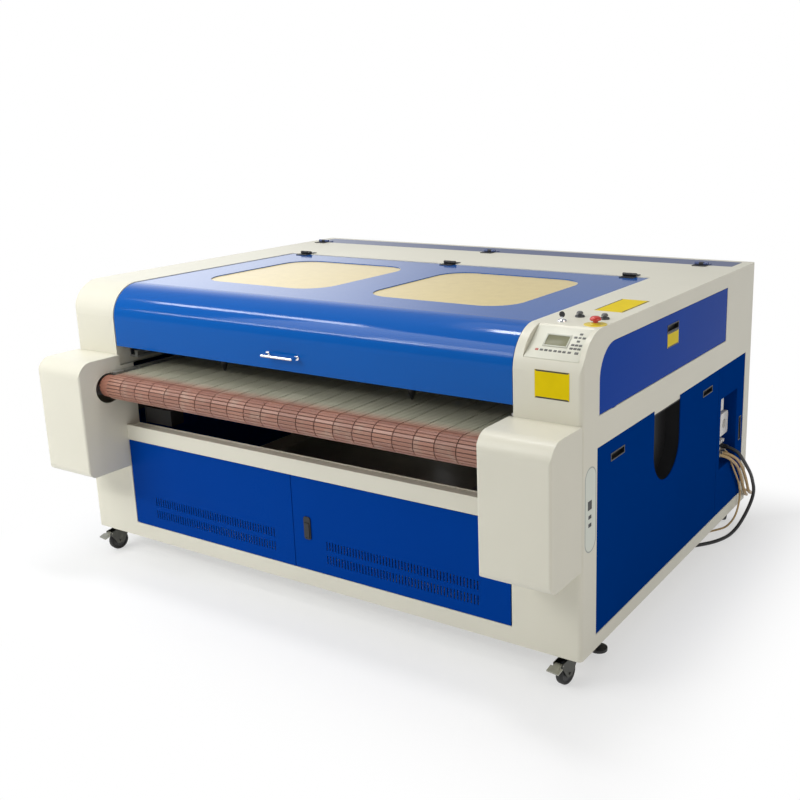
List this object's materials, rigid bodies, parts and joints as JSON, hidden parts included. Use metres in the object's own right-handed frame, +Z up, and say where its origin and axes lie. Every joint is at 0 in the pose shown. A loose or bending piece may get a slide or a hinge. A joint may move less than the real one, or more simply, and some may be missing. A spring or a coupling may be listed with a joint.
{
  "type": "laser cutting machine",
  "caption": "Flat-bed carbon dioxide laser cutter: castored sheet-metal cabinet, powered belt bed with a front roller, hinged windowed lid, gantry with cutting heads.",
  "frame": {"origin": "on the floor under the middle of the machine's plan, cords left out", "axes": "+X to the operator's right, +Y from the operator to the back of the machine, +Z up"},
  "size_m": [2.2069, 1.905, 1.115],
  "materials": {
    "cream_paint": "semi-gloss",
    "blue_paint": "semi-gloss",
    "black_paint": "satin",
    "bare_steel": "brushed",
    "zinc_steel": "plated",
    "chrome": "polished",
    "aluminium": "anodised",
    "belt_slats": "coated",
    "roller_rubber": "matt",
    "black_plastic": "matt",
    "white_plastic": "matt",
    "grey_plastic": "gloss",
    "red_plastic": "gloss",
    "yellow_plastic": "gloss",
    "yellow_film": "semi-gloss",
    "amber_acrylic": "clear",
    "tube_glass": "clear",
    "wheel_rubber": "matt",
    "tan_hose": "satin",
    "black_cord": "satin"
  },
  "bodies": {
    "chassis": {"base_cabinet": "cream_paint", "upper_cabinet": "cream_paint", "back_panel": "cream_paint", "lower_panel_right": "blue_paint", "upper_panel_right": "blue_paint", "left_panels": "blue_paint", "panel_grips": "black_plastic", "side_pocket": "black_plastic", "service_panel": "blue_paint", "service_sockets": "white_plastic", "interface_plate": "bare_steel", "front_box_left": "cream_paint", "front_box_right": "cream_paint", "conveyor_belt": "belt_slats", "belt_table": "aluminium", "bearing_blocks": "bare_steel", "conveyor_motor": "black_paint", "linear_rails": "bare_steel", "laser_tube": "tube_glass", "tube_cradles": "black_paint", "electronics": "bare_steel", "control_unit": "grey_plastic", "switch_bodies": "yellow_plastic", "label_plates": "yellow_film", "castor_plates": "zinc_steel", "hinge_bases": "black_paint", "service_hoses": "tan_hose", "power_cable": "black_cord", "cord_coils": "tan_hose", "cord_ends": "black_cord"},
    "lid": {"lid_shell": "blue_paint", "lid_windows": "amber_acrylic", "lid_handle": "chrome", "lid_hinges": "black_paint"},
    "strut_barrels": {"strut_barrels": "black_paint"},
    "strut_rods": {"strut_rods": "bare_steel"},
    "tube_cover": {"rear_cover": "blue_paint"},
    "left_door": {"door_left": "blue_paint"},
    "right_door": {"door_right": "blue_paint", "door_lock": "black_paint"},
    "lock_lever": {"lock_lever": "black_paint"},
    "gantry": {"gantry_beam": "aluminium"},
    "heads": {"laser_heads": "black_paint"},
    "front_roller": {"front_roller": "roller_rubber"},
    "rear_roller": {"rear_roller": "roller_rubber"},
    "fork_fl": {"castor_fork_fl": "zinc_steel"},
    "wheel_fl": {"castor_wheel_fl": "wheel_rubber"},
    "fork_fr": {"castor_fork_fr": "zinc_steel"},
    "wheel_fr": {"castor_wheel_fr": "wheel_rubber"},
    "fork_rl": {"castor_fork_rl": "zinc_steel"},
    "wheel_rl": {"castor_wheel_rl": "wheel_rubber"},
    "fork_rr": {"castor_fork_rr": "zinc_steel"},
    "wheel_rr": {"castor_wheel_rr": "wheel_rubber"},
    "pedal_fl": {"brake_pedal_fl": "zinc_steel"},
    "pedal_fr": {"brake_pedal_fr": "zinc_steel"},
    "feet": {"levelling_feet": "black_plastic"},
    "estop": {"estop_button": "red_plastic"},
    "mode_key": {"mode_key": "chrome"},
    "button_left": {"button_left": "white_plastic"},
    "button_right": {"button_right": "white_plastic"}
  },
  "joints": [
    {"name": "lid_hinge", "type": "hinge", "parent": "chassis", "child": "lid", "pos_m": [0, 0.329, 1.0915], "axis": [-1, 0, 0], "range_deg": [0, 55]},
    {"name": "strut_pivot", "type": "hinge", "parent": "chassis", "child": "strut_barrels", "pos_m": [0, 0.268, 0.905], "axis": [-1, 0, 0], "range_deg": [0, 37.3]},
    {"name": "strut_slide", "type": "slide", "parent": "strut_barrels", "child": "strut_rods", "axis": [0, -0.8171, 0.5764], "range_m": [0, 0.149]},
    {"name": "cover_hinge", "type": "hinge", "parent": "chassis", "child": "tube_cover", "pos_m": [0, 0.697, 1.0915], "axis": [1, 0, 0], "range_deg": [0, 95]},
    {"name": "left_door_hinge", "type": "hinge", "parent": "chassis", "child": "left_door", "pos_m": [-0.83, -0.664, 0.328], "axis": [0, 0, -1], "range_deg": [0, 90]},
    {"name": "right_door_hinge", "type": "hinge", "parent": "chassis", "child": "right_door", "pos_m": [0.83, -0.664, 0.328], "axis": [0, 0, 1], "range_deg": [0, 90]},
    {"name": "lock_lever_swing", "type": "hinge", "parent": "right_door", "child": "lock_lever", "pos_m": [0.04, -0.6757, 0.284], "axis": [1, 0, 0], "range_deg": [0, 35]},
    {"name": "gantry_slide", "type": "slide", "parent": "chassis", "child": "gantry", "axis": [0, 1, 0], "range_m": [0, 0.7]},
    {"name": "head_slide", "type": "slide", "parent": "gantry", "child": "heads", "axis": [1, 0, 0], "range_m": [-0.33, 0.33]},
    {"name": "front_roller_spin", "type": "hinge", "parent": "chassis", "child": "front_roller", "pos_m": [0, -0.734, 0.724], "axis": [1, 0, 0], "continuous": true},
    {"name": "rear_roller_spin", "type": "hinge", "parent": "chassis", "child": "rear_roller", "pos_m": [0, 0.768, 0.724], "axis": [1, 0, 0], "continuous": true},
    {"name": "castor_fl_swivel", "type": "hinge", "parent": "chassis", "child": "fork_fl", "pos_m": [-1.01, -0.61, 0.09], "axis": [0, 0, 1], "continuous": true},
    {"name": "castor_fl_roll", "type": "hinge", "parent": "fork_fl", "child": "wheel_fl", "pos_m": [-1.0139, -0.63773, 0.0375], "axis": [0.9903, -0.1392, 0], "continuous": true},
    {"name": "brake_fl_press", "type": "hinge", "parent": "fork_fl", "child": "pedal_fl", "pos_m": [-1.01863, -0.6714, 0.0765], "axis": [0.9903, -0.1392, 0], "range_deg": [0, 10]},
    {"name": "castor_fr_swivel", "type": "hinge", "parent": "chassis", "child": "fork_fr", "pos_m": [1.01, -0.61, 0.09], "axis": [0, 0, 1], "continuous": true},
    {"name": "castor_fr_roll", "type": "hinge", "parent": "fork_fr", "child": "wheel_fr", "pos_m": [1.0061, -0.63773, 0.0375], "axis": [0.9903, -0.1392, 0], "continuous": true},
    {"name": "brake_fr_press", "type": "hinge", "parent": "fork_fr", "child": "pedal_fr", "pos_m": [1.00137, -0.6714, 0.0765], "axis": [0.9903, -0.1392, 0], "range_deg": [0, 10]},
    {"name": "castor_rl_swivel", "type": "hinge", "parent": "chassis", "child": "fork_rl", "pos_m": [-1.01, 0.796, 0.09], "axis": [0, 0, 1], "continuous": true},
    {"name": "castor_rl_roll", "type": "hinge", "parent": "fork_rl", "child": "wheel_rl", "pos_m": [-0.996, 0.82025, 0.0375], "axis": [-0.866, 0.5, 0], "continuous": true},
    {"name": "castor_rr_swivel", "type": "hinge", "parent": "chassis", "child": "fork_rr", "pos_m": [1.01, 0.796, 0.09], "axis": [0, 0, 1], "continuous": true},
    {"name": "castor_rr_roll", "type": "hinge", "parent": "fork_rr", "child": "wheel_rr", "pos_m": [0.996, 0.82025, 0.0375], "axis": [-0.866, -0.5, 0], "continuous": true},
    {"name": "feet_lower", "type": "slide", "parent": "chassis", "child": "feet", "axis": [0, 0, -1], "range_m": [0, 0.03]},
    {"name": "estop_press", "type": "slide", "parent": "chassis", "child": "estop", "axis": [0, 0, -1], "range_m": [0, 0.005]},
    {"name": "mode_key_turn", "type": "hinge", "parent": "chassis", "child": "mode_key", "pos_m": [0.935, -0.522, 1.085], "axis": [0, 0, -1], "range_deg": [0, 90]},
    {"name": "left_button_press", "type": "slide", "parent": "chassis", "child": "button_left", "axis": [0, 0, -1], "range_m": [0, 0.003], "stiffness_N_per_m": 400},
    {"name": "right_button_press", "type": "slide", "parent": "chassis", "child": "button_right", "axis": [0, 0, -1], "range_m": [0, 0.003], "stiffness_N_per_m": 400}
  ],
  "couplings": [
    {"joint": "strut_pivot", "follows": "lid_hinge", "ratio": 0.67818},
    {"joint": "strut_slide", "follows": "lid_hinge", "m_per_rad": 0.15522},
    {"joint": "rear_roller_spin", "follows": "front_roller_spin", "ratio": 1}
  ]
}
